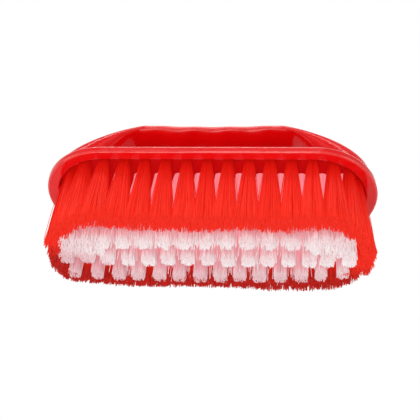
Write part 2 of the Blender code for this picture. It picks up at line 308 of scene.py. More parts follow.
class NodeBench:
    """Short hand for placing and joining nodes in one tree."""

    def __init__(self, tree: bpy.types.NodeTree) -> None:
        """Work on one node tree."""
        self.tree = tree

    def add(self, kind: str, **values: object) -> bpy.types.Node:
        """Place a node.

        Args:
            kind: Blender's name of the node's type.
            **values: Properties, or sockets by name.

        Returns:
            The new node.
        """
        node = self.tree.nodes.new(kind)
        for name, value in values.items():
            if hasattr(node, name):
                setattr(node, name, value)
            else:
                node.inputs[name].default_value = value
        return node

    def feed(self, target: bpy.types.NodeSocket, value: object) -> None:
        """Give an input something to follow or to hold.

        Args:
            target: The input.
            value: A socket, a plain colour or a number.
        """
        if isinstance(value, bpy.types.NodeSocket):
            self.tree.links.new(value, target)
        elif target.type == "RGBA":
            target.default_value = (*value, 1.0)
        else:
            target.default_value = value

    def fill(self, node: bpy.types.Node, values: dict[str, object]) -> None:
        """Feed several inputs of a node by name."""
        for name, value in values.items():
            self.feed(node.inputs[name], value)

    def maths(self, operation: str, first: object, second: object) -> bpy.types.NodeSocket:
        """Place a Math node on sockets or plain numbers.

        Args:
            operation: Blender's name of the operation.
            first: Socket or number of the first input.
            second: Socket or number of the second input.

        Returns:
            The result's socket.
        """
        node = self.add("ShaderNodeMath", operation=operation)
        for target, value in zip(node.inputs, (first, second)):
            self.feed(target, value)
        return node.outputs[0]

    def noise(self, where: bpy.types.NodeSocket, scale: object,
              detail: float) -> bpy.types.NodeSocket:
        """Place a Noise texture.

        Args:
            where: Socket of the place.
            scale: Socket or number of its scale.
            detail: Number of its finer layers.

        Returns:
            Its value's socket.
        """
        node = self.add("ShaderNodeTexNoise")
        self.fill(node, {"Vector": where, "Scale": scale, "Detail": detail})
        return node.outputs["Fac"]

    def remap(self, value: bpy.types.NodeSocket, low: float, high: float,
              to_low: float = 0.0, to_high: float = 1.0) -> bpy.types.NodeSocket:
        """Stretch a range onto another, clamped.

        Args:
            value: Socket of the number.
            low: Start of its range.
            high: End of its range.
            to_low: What the start becomes.
            to_high: What the end becomes.

        Returns:
            The result's socket.
        """
        node = self.add("ShaderNodeMapRange")
        self.fill(node, {"Value": value, "From Min": low, "From Max": high,
                         "To Min": to_low, "To Max": to_high})
        return node.outputs["Result"]

    def blend(self, share: bpy.types.NodeSocket, first: object,
              second: object) -> bpy.types.NodeSocket:
        """Mix two colours.

        Args:
            share: Socket of the second one's share.
            first: Socket or plain colour.
            second: Socket or plain colour.

        Returns:
            The mixed colour's socket.
        """
        node = self.add("ShaderNodeMix", data_type="RGBA")
        for index, value in ((0, share), (6, first), (7, second)):
            self.feed(node.inputs[index], value)
        return node.outputs[2]

    def mix_shaders(self, share: bpy.types.NodeSocket, first: bpy.types.NodeSocket,
                    second: bpy.types.NodeSocket) -> bpy.types.NodeSocket:
        """Mix two shaders.

        Args:
            share: Socket of the second one's share.
            first: Socket of the first shader.
            second: Socket of the second shader.

        Returns:
            The mixed shader's socket.
        """
        node = self.add("ShaderNodeMixShader")
        for target, value in zip(node.inputs, (share, first, second)):
            self.feed(target, value)
        return node.outputs[0]

    def place(self) -> bpy.types.NodeSocket:
        """Return the place on the object, in metres."""
        return self.add("ShaderNodeTexCoord").outputs["Object"]

    def stretched(self, place: bpy.types.NodeSocket, scale: Colour,
                  turn: Colour = (0.0, 0.0, 0.0)) -> bpy.types.NodeSocket:
        """Scale and turn a place, so that a texture over it runs in streaks.

        Args:
            place: Socket of the place.
            scale: Scale along x, y and z.
            turn: Rotation about x, y and z, in radians.

        Returns:
            The new place's socket.
        """
        node = self.add("ShaderNodeMapping")
        self.fill(node, {"Vector": place, "Scale": scale, "Rotation": turn})
        return node.outputs["Vector"]

    def stored(self, name: str) -> bpy.types.NodeSocket:
        """Read a number that is stored on the mesh."""
        return self.add("ShaderNodeAttribute", attribute_name=name).outputs["Fac"]

    def varied(self, share: bpy.types.NodeSocket, middle: float,
               swing: float) -> bpy.types.NodeSocket:
        """Turn a share into a number that swings round a middle by a share of it."""
        return self.remap(share, 0.0, 1.0, middle * (1 - swing), middle * (1 + swing))

    def effect(self, group: bpy.types.NodeTree, **values: float) -> dict:
        """Place a shared node group with its own values.

        Args:
            group: The group.
            **values: Numbers for its inputs by name, with _ for a space.

        Returns:
            Its output sockets by name.
        """
        node = self.add("ShaderNodeGroup", node_tree=group)
        self.fill(node, {name.replace("_", " "): value for name, value in values.items()})
        return dict(node.outputs.items())

    def bumped(self, height: bpy.types.NodeSocket, distance: float,
               strength: float) -> bpy.types.NodeSocket:
        """Turn a height into a normal.

        Args:
            height: Socket of the height.
            distance: What a height of one stands for, in metres.
            strength: Share of the bump that shows.

        Returns:
            The normal's socket.
        """
        node = self.add("ShaderNodeBump", Distance=distance, Strength=strength)
        self.feed(node.inputs["Height"], height)
        return node.outputs["Normal"]


def new_group(name: str, inputs: Iterable[tuple[str, float]],
              outputs: Iterable[str]) -> tuple[bpy.types.NodeTree, NodeBench, dict, bpy.types.Node]:
    """Make an empty shader group with number sockets.

    Args:
        name: Name of the group.
        inputs: Name and default of each input.
        outputs: Name of each output.

    Returns:
        The group, a bench to fill it with, its inputs by name and its output node.
    """
    group = bpy.data.node_groups.new(name, "ShaderNodeTree")
    for title, value in inputs:
        item = group.interface.new_socket(name=title, in_out="INPUT",
                                          socket_type="NodeSocketFloat")
        item.default_value = value
    for title in outputs:
        group.interface.new_socket(name=title, in_out="OUTPUT", socket_type="NodeSocketFloat")
    bench = NodeBench(group)
    entry = dict(bench.add("NodeGroupInput").outputs.items())
    return group, bench, entry, bench.add("NodeGroupOutput")


class SurfaceEffects:
    """Effects that several finishes share, each one node group."""

    def __init__(self) -> None:
        """Build the three groups once."""
        self.grain = self._moulded_grain()
        self.wear_and_highlight = self._edge_wear_and_highlight()
        self.strand = self._strand_tone()

    @staticmethod
    def _moulded_grain() -> bpy.types.NodeTree:
        """Fine orange peel over a slow waviness of the mould.

        Returns:
            The group.
        """
        group, bench, entry, leave = new_group(
            "moulded_grain",
            (("Fine Scale", 900.0), ("Broad Scale", 60.0), ("Broad Share", 0.6)),
            ("Height", "Flow"),
        )
        place = bench.place()
        fine = bench.noise(place, entry["Fine Scale"], 2.0)
        broad = bench.noise(place, entry["Broad Scale"], 3.0)
        slow = bench.maths("MULTIPLY", broad, entry["Broad Share"])
        bench.fill(leave, {"Height": bench.maths("ADD", fine, slow),
                           "Flow": bench.remap(broad, 0.3, 0.7)})
        return group

    @staticmethod
    def _edge_wear_and_highlight() -> bpy.types.NodeTree:
        """Rubbed edges, paler partly as a painted highlight, and sparse hairline scratches along
        the handle.

        Returns:
            The group.
        """
        group, bench, entry, leave = new_group(
            "edge_wear_and_highlight",
            (("Edge Amount", 0.5), ("Scratch Amount", 0.3)),
            ("Rubbed And Highlit", "Scratch", "Edge"),
        )
        place = bench.place()
        edge = bench.stored("edge_share")
        patches = bench.remap(bench.noise(place, 210.0, 4.0), 0.30, 0.60)
        rubbed_and_highlit = bench.maths("MULTIPLY", edge, patches)
        hairlines = bench.stretched(place, (60.0, 1400.0, 1400.0), (0.2, 0.1, 0.25))
        lines = bench.remap(bench.noise(hairlines, 1.0, 1.0), 0.70, 0.76)
        where = bench.remap(bench.noise(place, 45.0, 2.0), 0.5, 0.65)
        scratch = bench.maths("MULTIPLY", lines, where)
        bench.fill(leave, {
            "Edge": edge,
            "Rubbed And Highlit": bench.maths("MULTIPLY", rubbed_and_highlit, entry["Edge Amount"]),
            "Scratch": bench.maths("MULTIPLY", scratch, entry["Scratch Amount"]),
        })
        return group

    @staticmethod
    def _strand_tone() -> bpy.types.NodeTree:
        """Tone of one filament, streaked along it, its scuffed end and its painted shade.

        Returns:
            The group.
        """
        group, bench, entry, leave = new_group(
            "strand_tone",
            (("Streak Amount", 0.25), ("Scuff Start", 0.93), ("Soil Start", 0.72),
             ("Soil Length", 0.22), ("Depth End", 0.95)),
            ("Tone", "Scuff", "Painted Shade", "Depth", "Ridge"),
        )
        scuff_length = 0.06
        streak = bench.noise(bench.stretched(bench.place(), (1500.0, 1500.0, 90.0)), 1.0, 2.0)
        reach = bench.stored("strand_reach")
        swing = bench.maths("MULTIPLY", bench.maths("SUBTRACT", streak, 0.5),
                            entry["Streak Amount"])
        tone = bench.maths("ADD", bench.stored("strand_tone"), swing)
        scuff = bench.maths("SUBTRACT", reach, entry["Scuff Start"])
        painted_shade = bench.maths("DIVIDE", bench.maths("SUBTRACT", reach, entry["Soil Start"]),
                             entry["Soil Length"])
        depth = bench.maths("DIVIDE", reach, entry["Depth End"])
        bench.fill(leave, {
            "Tone": bench.remap(tone, 0.0, 1.0),
            "Scuff": bench.remap(scuff, 0.0, scuff_length),
            "Painted Shade": bench.maths("MULTIPLY", bench.remap(painted_shade, 0.0, 1.0),
                                bench.stored("strand_painted_shade")),
            "Depth": bench.remap(depth, 0.0, 1.0, 1.0, 0.0),
            "Ridge": streak,
        })
        return group


@dataclass(frozen=True)
class Finish:
    """A finish, which says what feeds each input of its Principled shader."""

    name: str

    def feeds(self, bench: NodeBench, effects: SurfaceEffects) -> dict[str, object]:
        """Place the finish's own nodes.

        Args:
            bench: Bench of the material's node tree.
            effects: The shared node groups.

        Returns:
            A socket, colour or number for each input of the shader by name.
        """
        raise NotImplementedError

    def material(self, effects: SurfaceEffects) -> bpy.types.Material:
        """Build the material.

        Args:
            effects: The shared node groups.

        Returns:
            The finished material.
        """
        made = bpy.data.materials.new(self.name)
        made.use_nodes = True
        bench = NodeBench(made.node_tree)
        bench.fill(made.node_tree.nodes["Principled BSDF"], self.feeds(bench, effects))
        return made


@dataclass(frozen=True)
class PlasticFinish(Finish):
    """Glossy moulded plastic with mould grain, rubbed edges painted paler partly as a painted
    highlight, and scratches.
    """

    deep: Colour
    bright: Colour
    worn_and_highlight: Colour
    roughness: float
    gloss: float
    edge_polish: float
    coat_roughness: float = 0.06
    coat_ior: float = 1.5
    grain_depth: float = 0.00003
    grain_strength: float = 0.5
    edge_amount: float = 0.35
    scratch_amount: float = 0.35
    rough_swing: float = 0.15
    rubbed_roughness: float = 0.25
    scratch_roughness: float = 0.3
    scratch_depth: float = 0.8

    def feeds(self, bench: NodeBench, effects: SurfaceEffects) -> dict[str, object]:
        """Place the nodes of the plastic.

        Args:
            bench: Bench of the material's node tree.
            effects: The shared node groups.

        Returns:
            A socket, colour or number for each input of the shader by name.
        """
        grain = bench.effect(effects.grain)
        wear_and_highlight = bench.effect(effects.wear_and_highlight, Edge_Amount=self.edge_amount,
                            Scratch_Amount=self.scratch_amount)
        colour = bench.blend(grain["Flow"], self.deep, self.bright)
        rough = bench.varied(grain["Flow"], self.roughness, self.rough_swing)
        for mark, amount in (("Rubbed And Highlit", self.rubbed_roughness),
                             ("Scratch", self.scratch_roughness)):
            rough = bench.maths("ADD", rough, bench.maths("MULTIPLY", wear_and_highlight[mark], amount))
        dip = bench.maths("MULTIPLY", wear_and_highlight["Scratch"], -self.scratch_depth)
        height = bench.maths("ADD", grain["Height"], dip)
        return {
            # The paler edge colour is partly wear and partly a painted highlight along the fillets.
            "Base Color": bench.blend(wear_and_highlight["Rubbed And Highlit"], colour, self.worn_and_highlight),
            "Roughness": rough,
            "Normal": bench.bumped(height, self.grain_depth, self.grain_strength),
            "Coat Weight": bench.maths("MULTIPLY", wear_and_highlight["Edge"], self.edge_polish),
            "Coat Roughness": self.coat_roughness,
            "Coat IOR": self.coat_ior,
            "Specular IOR Level": self.gloss,
        }


@dataclass(frozen=True)
class FilamentFinish(Finish):
    """Drawn nylon filament: satin, each strand its own tone, ends scuffed, back ends darkened by
    painted shade.

    The nylon is taken to be cloudy, so that light which enters a strand leaves
    it again along its length, coloured by the strands and the block round its
    root. Emission paints that light in, as painted light that also lifts the
    shade between the strands. It doesn't follow the lamps, so glow has to come
    down where the part is lit less than in this studio.
    """

    deep: Colour
    bright: Colour
    scuffed: Colour
    painted_shade: Colour
    # Colour towards the root: painted shade near the block, and for white strands painted red light
    # bounced off the red tufts.
    root: Colour
    glow: float
    tip_glow: float
    depth_end: float
    painted_shade_start: float
    painted_shade_length: float
    scuff_share: float
    roughness: float = 0.42
    rough_swing: float = 0.2
    painted_shade_amount: float = 0.85
    gloss: float = 0.1
    ridge_depth: float = 0.00003
    ridge_strength: float = 0.3

    def feeds(self, bench: NodeBench, effects: SurfaceEffects) -> dict[str, object]:
        """Place the nodes of the filament.

        Args:
            bench: Bench of the material's node tree.
            effects: The shared node groups.

        Returns:
            A socket, colour or number for each input of the shader by name.
        """
        strand = bench.effect(effects.strand, Depth_End=self.depth_end,
                              Soil_Start=self.painted_shade_start, Soil_Length=self.painted_shade_length)
        colour = bench.blend(strand["Tone"], self.deep, self.bright)
        # Painted shade and painted bounced red light towards the root.
        colour = bench.blend(strand["Depth"], colour, self.root)
        # Scuffed ends first, then painted shade on the back tips and on scattered strands.
        for mark, amount, shade in (("Scuff", self.scuff_share, self.scuffed),
                                    ("Painted Shade", self.painted_shade_amount, self.painted_shade)):
            colour = bench.blend(bench.maths("MULTIPLY", strand[mark], amount), colour, shade)
        inner = bench.remap(strand["Depth"], 0.0, 1.0, self.tip_glow, 1.0)
        return {
            "Base Color": colour,
            "Emission Color": bench.blend(inner, (0.0, 0.0, 0.0), colour),
            "Emission Strength": self.glow,
            "Roughness": bench.varied(strand["Tone"], self.roughness, self.rough_swing),
            "Specular IOR Level": self.gloss,
            "Normal": bench.bumped(strand["Ridge"], self.ridge_depth, self.ridge_strength),
        }


@dataclass
class CoverAndRim:
    """The plate: a rounded rim, the recess inside it and the low cover."""

    sizes: BrushSizes
    outline: PlateOutline
    rim_fillet: float = 0.0010
    wall_land: float = 0.0003
    ledge_width: float = 0.0016
    cover_run: float = 0.0134
    cover_start_lean_share: float = 0.02
    cover_start_lift_share: float = 0.30
    cover_end_run_share: float = 0.52
    fillet_steps: int = 7
    cover_steps: int = 26
    smooth_angle: float = 40.0
    edge_turn: float = 14.0

    def quarter(self, inset: float, level: float, first: float, last: float) -> Profile:
        """Round one corner of the section.

        Args:
            inset: Inset of the fillet's centre.
            level: Height of the centre.
            first: Angle at which it starts, in degrees.
            last: Angle at which it ends, in degrees.

        Returns:
            Pairs of inset and height.
        """
        points = []
        for step in range(self.fillet_steps + 1):
            turn = math.radians(first + (last - first) * step / self.fillet_steps)
            along = inset + self.rim_fillet * math.cos(turn)
            points.append((along, level + self.rim_fillet * math.sin(turn)))
        return points

    def cover_curve(self) -> list[Vector]:
        """Draw the cover's outer face, from the ledge up to its flat top.

        Returns:
            Points of inset and height.
        """
        rise = self.sizes.cover_top - self.sizes.rim_top
        start = Vector((self.ledge_width + self.rim_fillet, self.sizes.rim_top))
        end = start + Vector((self.cover_run, rise))
        lift = start + Vector((self.cover_run * self.cover_start_lean_share,
                               rise * self.cover_start_lift_share))
        ease = end - Vector((self.cover_run * self.cover_end_run_share, 0.0))
        return interpolate_bezier(start, lift, ease, end, self.cover_steps)

    def under_cover(self, distance: float, shallowest: float) -> Profile:
        """The cover's face moved in by a distance, from an inset inwards.

        Args:
            distance: How far under the outer face it lies.
            shallowest: Inset where the returned stretch starts.

        Returns:
            Pairs of inset and height, going inwards.
        """
        curve = self.cover_curve()
        moved = []
        for index, point in enumerate(curve):
            before = curve[max(index - 1, 0)]
            after = curve[min(index + 1, len(curve) - 1)]
            along = (after - before).normalized()
            moved.append(point + Vector((along.y, -along.x)) * distance)
        kept = [(shallowest, float(np.interp(shallowest, [p.x for p in moved],
                                             [p.y for p in moved])))]
        return kept + [(p.x, p.y) for p in moved if p.x > shallowest + SHORT_STEP]

    def height_at(self, place: Vector) -> float:
        """Find how high the cover's outer face is.

        Args:
            place: A place in plan.

        Returns:
            The height over it.
        """
        curve = self.cover_curve()
        inset = self.outline.inset_at(place)
        return float(np.interp(inset, [p.x for p in curve], [p.y for p in curve]))

    def build(self) -> bpy.types.Object:
        """Model the plate from its hollow, round the rim, to the cover's top.

        Returns:
            The finished object.
        """
        fillet = self.rim_fillet
        bottom = self.sizes.rim_bottom + fillet
        mouth = self.sizes.rim_width - fillet
        profile = self.under_cover(self.sizes.cover_wall, self.sizes.rim_width)[::-1]
        profile += self.quarter(mouth, bottom, 360, 270)
        profile += self.quarter(fillet, bottom, 270, 180)
        shoulder = self.sizes.rim_top - fillet
        profile += [(0.0, bottom + self.wall_land), (0.0, shoulder - self.wall_land)]
        profile += self.quarter(fillet, shoulder, 180, 90)
        profile += [(point.x, point.y) for point in self.cover_curve()]
        piece = lofted("cover_and_rim", [self.outline.ring(*point) for point in profile])
        settle(piece, self.smooth_angle, self.edge_turn)
        return piece


@dataclass
class ArchedHandle:
    """The handle: an arch with finger grooves that flows into the cover."""

    sizes: BrushSizes
    cover: CoverAndRim
    thickness: float = 0.0066
    grip_width: float = 0.0254
    foot_width: float = 0.0360
    grip_half_flat: float = 0.0314
    foot_outer: float = 0.0776
    foot_inner: float = 0.0586
    foot_sink: float = 0.0035
    finger_pitch: float = 0.0190
    finger_groove: float = 0.0012
    foot_flare: float = 0.0024
    flare_room_share: float = 0.3
    outer_shoulder_share: float = 0.04
    outer_foot_lean_share: float = 0.01
    outer_foot_lift_share: float = 0.73
    inner_shoulder_share: float = 0.27
    inner_foot_lean_share: float = 0.51
    inner_foot_lift_share: float = 0.30
    seat_depth: float = 0.0006
    flat_steps: int = 36
    leg_steps: int = 44
    section_points: int = 48
    blend_steps: int = 6
    flare_steps: int = 8
    section_power: float = 3.0
    smooth_angle: float = 50.0
    edge_turn: float = 16.0

    def side_curves(self) -> tuple[list[Vector], list[Vector]]:
        """Underside and top of the arch, from its middle to the +X foot.

        Returns:
            The two curves as points (x, z) of equal number.
        """
        gap_half = self.finger_pitch * 2
        top = self.sizes.top
        under = top - self.thickness
        inner, outer = [], []
        for step in range(self.flat_steps):
            share = step / self.flat_steps
            along = gap_half * share
            wave = 1 - math.cos(2 * math.pi * along / self.finger_pitch)
            inner.append(Vector((along, under + self.finger_groove * wave / 2)))
            outer.append(Vector((self.grip_half_flat * share, top)))
        foot = self.sizes.cover_top - self.foot_sink
        run, drop = self.foot_inner - gap_half, under - foot
        inner += interpolate_bezier(
            Vector((gap_half, under)),
            Vector((gap_half + run * self.inner_shoulder_share, under)),
            Vector((self.foot_inner - run * self.inner_foot_lean_share,
                    foot + drop * self.inner_foot_lift_share)),
            Vector((self.foot_inner, foot)), self.leg_steps)
        base = self.sizes.rim_top
        run, drop = self.foot_outer - self.grip_half_flat, top - base
        outer += interpolate_bezier(
            Vector((self.grip_half_flat, top)),
            Vector((self.grip_half_flat + run * self.outer_shoulder_share, top)),
            Vector((self.foot_outer - run * self.outer_foot_lean_share,
                    base + drop * self.outer_foot_lift_share)),
            Vector((self.foot_outer, base)), self.leg_steps)
        return inner, outer

    def rounded(self, value: float) -> float:
        """Return the share of a half size on the flat section with rounded corners."""
        return math.copysign(abs(value) ** (2 / self.section_power), value)

    def sections(self) -> np.ndarray:
        """Rings of the arch from its middle to the +X foot.

        Returns:
            Array of rings by points by (x, y, z).
        """
        inner, outer = self.side_curves()
        rings = []
        for index, (low, high) in enumerate(zip(inner, outer)):
            share = (index / (len(inner) - 1)) ** 2
            half = (self.grip_width + (self.foot_width - self.grip_width) * share) / 2
            middle, upward = (low + high) / 2, (high - low) / 2
            ring = []
            for step in range(self.section_points):
                turn = 2 * math.pi * step / self.section_points
                point = middle + upward * self.rounded(math.cos(turn))
                ring.append((point.x, half * self.rounded(math.sin(turn)), point.y))
            rings.append(ring)
        return np.array(rings)

    def landed(self, rings: np.ndarray) -> np.ndarray:
        """Bend the foot of every generator onto the cover.

        Args:
            rings: Rings of the arch, cut off inside the cover.

        Returns:
            Rings that end in a flare which meets the cover smoothly.
        """
        count = len(rings)
        steps = np.arange(count)

        def point_at(column: int, at: float) -> np.ndarray:
            """Return the point of one generator at a broken ring number."""
            return np.array([np.interp(at, steps, rings[:, column, axis]) for axis in range(3)])

        starts, hits, ends = [], [], []
        for column in range(rings.shape[1]):
            line = rings[:, column]
            over = [z - self.cover.height_at(Vector((x, y, 0.0)))
                    for x, y, z in line[count // 2:]]
            hit = count // 2 + float(np.interp(0.0, over[::-1], np.arange(len(over))[::-1]))
            lengths = np.cumsum(np.r_[0.0, np.linalg.norm(np.diff(line, axis=0), axis=1)])
            back = float(np.interp(hit, steps, lengths)) - self.foot_flare
            starts.append(float(np.interp(back, lengths, steps)))
            hits.append(point_at(column, hit))
        centre = np.mean(hits, axis=0)
        first = int(min(starts)) - 1
        for column, place in enumerate(hits):
            beside = hits[column - 1], hits[(column + 1) % len(hits)]
            along = Vector((beside[1] - beside[0])[:2]).normalized()
            out = Vector((along.y, -along.x))
            if out.dot(Vector((place - centre)[:2])) < 0:
                out = -out
            room = self.cover.outline.inset_at(Vector(place[:2])) - self.cover.rim_fillet
            step_out = min(self.foot_flare, room * self.flare_room_share)
            target = Vector((place[0], place[1])) + out * step_out
            ends.append(np.array((target.x, target.y, self.cover.height_at(target))))
        result = [rings[index] for index in range(first + 1)]
        for step in range(1, self.blend_steps + 1):
            result.append(np.array([
                point_at(column, first + (start - first) * step / self.blend_steps)
                for column, start in enumerate(starts)]))
        base = result[-1]
        for step in range(1, self.flare_steps + 1):
            share = step / self.flare_steps
            ring = (base * (1 - share) ** 2 + np.array(hits) * 2 * share * (1 - share)
                    + np.array(ends) * share ** 2)
            result.append(ring)
        result.append(result[-1] - np.array((0.0, 0.0, self.seat_depth)))
        return np.array(result)

    def build(self) -> bpy.types.Object:
        """Model the arch from the -X foot to the +X foot.

        Returns:
            The finished object.
        """
        half = self.landed(self.sections())
        mirrored = half[:0:-1] * np.array((-1.0, 1.0, 1.0))
        rings = [[Vector(point) for point in ring] for ring in (*mirrored, *half)]
        piece = lofted("arched_handle", rings)
        settle(piece, self.smooth_angle, self.edge_turn, self.grip_half_flat)
        return piece


@dataclass(frozen=True)
class Tuft:
    """One tuft: its root, the lean of its tips and its outward direction.

    Fullness goes from 0 to 1 where a tuft is splayed into its neighbours.
    """

    place: Vector
    lean: Vector
    out: Vector
    fullness: float = 0.0


@dataclass
class TuftLayout:
    """Places of all tufts: a ring round the plate and three rows inside."""

    sizes: BrushSizes
    outline: PlateOutline
    ring_half_count: int = 18
    end_samples: int = 721
    end_flare: float = 0.0030
    left_flare: float = 0.0022
    left_push: float = 0.0030
    right_push: float = -0.0008
    front_push: float = 0.0012
    row_end_inset: float = 0.01321
    full_start: float = 0.0380
    end_zone_start: float = 0.0440
    end_zone_length: float = 0.0120

    def ring(self) -> list[Tuft]:
        """Place the tufts of the ring.

        Returns:
            The tufts, from the front middle to the back middle.
        """
        radius, half = self.outline.axes(self.sizes.ring_inset)
        straight = self.sizes.half_straight
        turns = np.linspace(-math.pi / 2, math.pi / 2, self.end_samples)
        line_x = np.r_[0.0, straight + radius * np.cos(turns), 0.0]
        line_y = np.r_[-half, half * np.sin(turns), half]
        lengths = np.cumsum(np.r_[0.0, np.hypot(np.diff(line_x), np.diff(line_y))])
        tufts = []
        for number in range(self.ring_half_count + 1):
            at = lengths[-1] * number / self.ring_half_count
            place, before, after = (
                Vector([np.interp(at + step, lengths, line) for line in (line_x, line_y)])
                for step in (0.0, -SHORT_STEP, SHORT_STEP))
            along = (after - before).normalized()
            out = Vector((along.y, -along.x))
            share = min(max((place.x - self.full_start) / self.end_zone_length, 0.0), 1.0)
            ends = ((1, self.end_flare, self.right_push), (-1, self.left_flare, self.left_push))
            for side, reach, push in ends if 0 < number < self.ring_half_count else ends[:1]:
                root = Vector((side * place.x, place.y))
                flare = out * reach * out.x ** 2
                push = push * out.x ** 2 + self.front_push * max(-out.y, 0.0) * (1 - 2 * share)
                lean = Vector((side * flare.x, flare.y + push))
                tufts.append(Tuft(root, lean, Vector((side * out.x, out.y)), share))
        return tufts

    def row(self, across: float, half_steps: float, push: float,
            ends: tuple[tuple[float, float], tuple[float, float]]) -> list[Tuft]:
        """Tufts of one straight row.

        Args:
            across: The row's y.
            half_steps: Number of pitches from the middle to the last tuft.
            push: How far all its tips are set back.
            ends: For its -X and +X end, how far the tips splay and are set back further.

        Returns:
            The tufts from the middle outwards.
        """
        last = self.outline.half_length_at(across, self.row_end_inset)
        pitch = last / half_steps
        tufts = []
        along = pitch * (half_steps % 1.0)
        while along <= last + SLIVER:
            share = min(max((along - self.end_zone_start) / self.end_zone_length, 0.0), 1.0)
            for side in (1, -1) if along > 0.0 else (1,):
                root = Vector((side * along, across))
                splay, further = ends[side > 0]
                splay *= side * (along / self.sizes.half_length) ** 2
                lean = Vector((splay, push + further * share ** 2))
                tufts.append(Tuft(root, lean, Vector((0.0, 1.0)), share))
            along += pitch
        return tufts


@dataclass
class DrilledBlock:
    """The block that holds the tufts, drilled with a hole for each.

    The mouths of neighbouring holes mustn't overlap, or the cut gives nothing.
    """

    sizes: BrushSizes
    cover: CoverAndRim
    tufts: list[Tuft]
    hole_radius: float = 0.0020
    chamfer: float = 0.0001
    hole_depth: float = 0.0016
    overrun: float = 0.001
    hole_sides: int = 14
    smooth_angle: float = 35.0
    edge_turn: float = 60.0

    def cutter(self) -> bpy.types.Object:
        """Model one chamfered drill, then copy it to every tuft.

        Returns:
            One object that holds all the drills.
        """
        wide = self.hole_radius + self.chamfer
        level = self.sizes.root_level
        rings = ((wide, level - self.overrun), (wide, level),
                 (self.hole_radius, level + self.chamfer),
                 (self.hole_radius, level + self.hole_depth))
        drill = lofted("drill_guide", [circle(radius, self.hole_sides, height)
                                       for radius, height in rings])
        copies = []
        for tuft in self.tufts:
            copy = drill.copy()
            copy.data = drill.data.copy()
            copy.data.transform(Matrix.Translation(tuft.place.to_3d()))
            bpy.context.collection.objects.link(copy)
            copies.append(copy)
        bpy.data.objects.remove(drill)
        select_only(*copies)
        bpy.ops.object.join()
        return copies[0]

    def build(self) -> bpy.types.Object:
        """Model the block under the cover and drill it.

        Returns:
            The finished object.
        """
        edge = self.sizes.rim_width + self.sizes.fit_gap
        under = self.sizes.cover_wall + self.sizes.fit_gap
        profile = [(edge, self.sizes.root_level)]
        profile += self.cover.under_cover(under, edge)
        outline = self.cover.outline
        piece = lofted("drilled_block", [outline.ring(*point) for point in profile])
        drills = self.cutter()
        cut = piece.modifiers.new("tuft_holes", "BOOLEAN")
        cut.operation, cut.solver, cut.object = "DIFFERENCE", "EXACT", drills
        select_only(piece)
        bpy.ops.object.modifier_apply(modifier=cut.name)
        bpy.data.objects.remove(drills)
        if not piece.data.polygons:
            raise RuntimeError("the drilled block came out empty")
        settle(piece, self.smooth_angle, self.edge_turn)
        return piece


@dataclass(frozen=True)
class FanStyle:
    """How the filaments of one kind of tuft spread and end."""

    filaments: int
    along_radius: float
    out_radius: float
    end_out_radius: float
    lobe_split: float = 0.0
    end_splay: float = 0.0
    end_spread: float = 0.0
    root_radius: float = 0.00185
    thickness: float = 0.00014
    wander: float = 0.00022
    stray_share: float = 0.02
    stray_reach: float = 0.0012
    end_scatter: float = 0.00070
    bow: float = 0.00030
    bulge: float = 0.0
    tuft_scatter: float = 0.00030
    face_painted_shade: float = 0.0
    tone_spread: float = 0.22
    tuft_tone_spread: float = 0.06
    thickness_swing: float = 0.15
    stray_limit: float = 1.5
    stray_lift: float = 2.5
    lobe_sharpness: float = 4.0
    least_painted_shade: float = 0.5
    painted_shade_fleck_share: float = 0.0
    section_power: float = 3.0


@dataclass
class FilamentModel:
    """One filament of unit size, modelled once and copied into every tuft."""

    sides: int = 3
    stages: tuple[float, ...] = (0.0, 0.3, 0.6, 0.85, 1.0)
    tip_share: float = 1.3

    def build(self) -> tuple[np.ndarray, list[tuple[int, ...]]]:
        """Model the filament and take its mesh.

        Returns:
            Its vertices, x and y in radii and z from root 0 to tip 1, and faces.
        """
        guide = lofted("filament_guide", [
            circle(1 + (self.tip_share - 1) * stage, self.sides, stage) for stage in self.stages])
        points = np.array([tuple(vert.co) for vert in guide.data.vertices])
        faces = [tuple(face.vertices) for face in guide.data.polygons]
        bpy.data.objects.remove(guide)
        return points, faces


@dataclass(frozen=True)
class BackPress:
    """Set that the back tips took from lying against a flat face, and where painted shade darkens
    them.
    """

    knee: float = 0.0248
    kept_share: float = 0.62
    kept_share_right: float = 1.0
    right_length: float = 0.0450
    lift_share: float = 0.05
    painted_shade_from: float = 0.0090
    painted_shade_length: float = 0.0120
    left_start: float = 0.0400
    left_length: float = 0.0200
    left_painted_shade_shift: float = 0.0160
    left_knee: float = 0.0026

    def leftness(self, tip: np.ndarray) -> np.ndarray:
        """Return the share, from 0 to 1, that each tip at (x, y) lies in the -X end."""
        return np.clip((-tip[:, 0] - self.left_start) / self.left_length, 0.0, 1.0)

    def painted_shade(self, tip: np.ndarray) -> np.ndarray:
        """Return how much painted shade each tip at (x, y) gets, more towards the back and the -X
        end.
        """
        start = self.painted_shade_from - self.left_painted_shade_shift * self.leftness(tip)
        return np.clip((tip[:, 1] - start) / self.painted_shade_length, 0.0, 1.0)

    def apply(self, tip: np.ndarray) -> np.ndarray:
        """Press tips forward in place.

        Args:
            tip: Tips as rows of (x, y).

        Returns:
            How far each tip's end is lifted by the bend.
        """
        right = np.clip(tip[:, 0] / self.right_length, 0.0, 1.0)
        kept = self.kept_share + (self.kept_share_right - self.kept_share) * right
        knee = self.knee - self.left_knee * self.leftness(tip)
        over = np.clip(tip[:, 1] - knee, 0.0, None)
        tip[:, 1] -= over * (1 - kept)
        return over * self.lift_share


